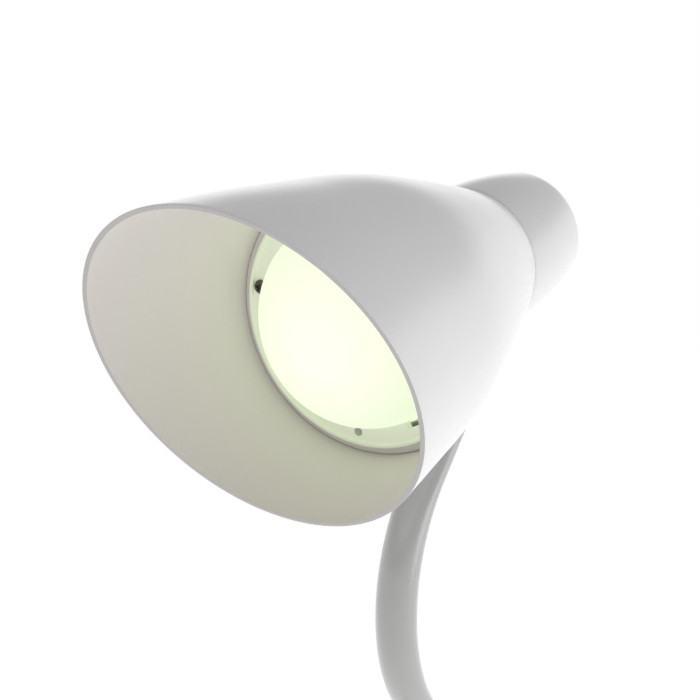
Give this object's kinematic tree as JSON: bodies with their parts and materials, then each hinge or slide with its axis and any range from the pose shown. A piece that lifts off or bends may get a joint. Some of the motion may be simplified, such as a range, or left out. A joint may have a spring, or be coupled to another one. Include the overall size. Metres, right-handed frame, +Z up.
{
  "type": "clip on reading lamp",
  "caption": "Reading lamp with a bell shade over a lit opal dome, on a sleeved gooseneck that rises from a sprung desk clip; a push button on the neck switches it.",
  "frame": {"origin": "the middle of the upper jaw's gripping face, which rests on the desk", "axes": "+Z up, -Y the way the lamp shines and the jaws open, +X to the lamp's left as it shines"},
  "size_m": [0.1032, 0.1941, 0.3414],
  "materials": {
    "white_shell": "moulded gloss white",
    "bright_steel": "plated",
    "arm_sleeve": "smooth satin silicone",
    "black_plastic": "black",
    "grey_button": "fine satin",
    "red_insulation": "red wire covering",
    "ring_plate": "satin pale grey",
    "white_board": "white solder mask",
    "green_board": "green solder mask",
    "bare_aluminium": "stamped",
    "copper_winding": "enamelled copper",
    "grip_pad": "matte grey",
    "opal_diffuser": "satin opal, lit",
    "led_phosphor": "phosphor, lit"
  },
  "bodies": {
    "clip": {"clip_body": "white_shell", "clip_cover": "white_shell", "upper_pad": "grip_pad", "cover_screw_1": "bright_steel", "cover_screw_2": "bright_steel", "pivot_pin": "bright_steel", "pin_retainer": "bright_steel", "clip_spring": "bright_steel", "inlet_socket": "black_plastic", "inlet_pin": "bright_steel", "base_lead": "black_plastic", "base_ferrule": "white_shell", "base_ferrule_nut": "bright_steel", "gooseneck_sleeve_1": "arm_sleeve", "gooseneck_core_1": "bright_steel", "supply_lead_1": "black_plastic"},
    "lever": {"clip_lever": "white_shell", "lower_pad": "grip_pad"},
    "arm_low": {"gooseneck_sleeve_2": "arm_sleeve", "gooseneck_core_2": "bright_steel", "supply_lead_2": "black_plastic"},
    "arm_mid": {"gooseneck_sleeve_3": "arm_sleeve", "gooseneck_core_3": "bright_steel", "supply_lead_3": "black_plastic"},
    "arm_top": {"gooseneck_sleeve_4": "arm_sleeve", "gooseneck_core_4": "bright_steel", "supply_lead_4": "black_plastic", "neck_ferrule": "white_shell", "neck_ferrule_nut": "bright_steel"},
    "head": {"shade_bell": "white_shell", "neck_housing": "white_shell", "rear_cap": "white_shell", "button_spring": "bright_steel", "switch_body": "black_plastic", "led_carrier_ring": "ring_plate", "carrier_screw_1": "bright_steel", "carrier_screw_2": "bright_steel", "diffuser_dome": "opal_diffuser", "led_board": "white_board", "led_1": "led_phosphor", "led_2": "led_phosphor", "led_3": "led_phosphor", "led_4": "led_phosphor", "led_5": "led_phosphor", "led_6": "led_phosphor", "heat_spreader": "bare_aluminium", "driver_board": "green_board", "driver_choke": "copper_winding", "driver_capacitor": "black_plastic", "led_wire_positive": "red_insulation", "led_wire_negative": "black_plastic", "head_lead": "black_plastic"},
    "button": {"power_button": "grey_button"}
  },
  "joints": [
    {"name": "arm_bend_low", "type": "hinge", "parent": "clip", "child": "arm_low", "pos_m": [0, 0.02329, 0.09144], "axis": [1, 0, 0], "range_deg": [-30, 30]},
    {"name": "arm_sway", "type": "hinge", "parent": "arm_low", "child": "arm_mid", "pos_m": [0, 0.00072, 0.13678], "axis": [0, 0.8972, 0.4416], "range_deg": [-30, 30]},
    {"name": "arm_bend_high", "type": "hinge", "parent": "arm_mid", "child": "arm_top", "pos_m": [0, 0.0007, 0.18602], "axis": [1, 0, 0], "range_deg": [-30, 30]},
    {"name": "head_turn", "type": "hinge", "parent": "arm_top", "child": "head", "pos_m": [0, 0.05482, 0.24289], "axis": [0, 0.7193, 0.6947], "range_deg": [-75, 75]},
    {"name": "button_press", "type": "slide", "parent": "head", "child": "button", "axis": [0, -0.9984, -0.0558], "range_m": [0, 0.002], "stiffness_N_per_m": 800, "springref_m": -0.003, "deforming": ["button_spring"]},
    {"name": "jaw_hinge", "type": "hinge", "parent": "clip", "child": "lever", "pos_m": [0, 0.0455, -0.006], "axis": [1, 0, 0], "range_deg": [0, 30], "stiffness_Nm_per_rad": 1.2, "springref_deg": -28.65, "deforming": ["clip_spring"]}
  ]
}
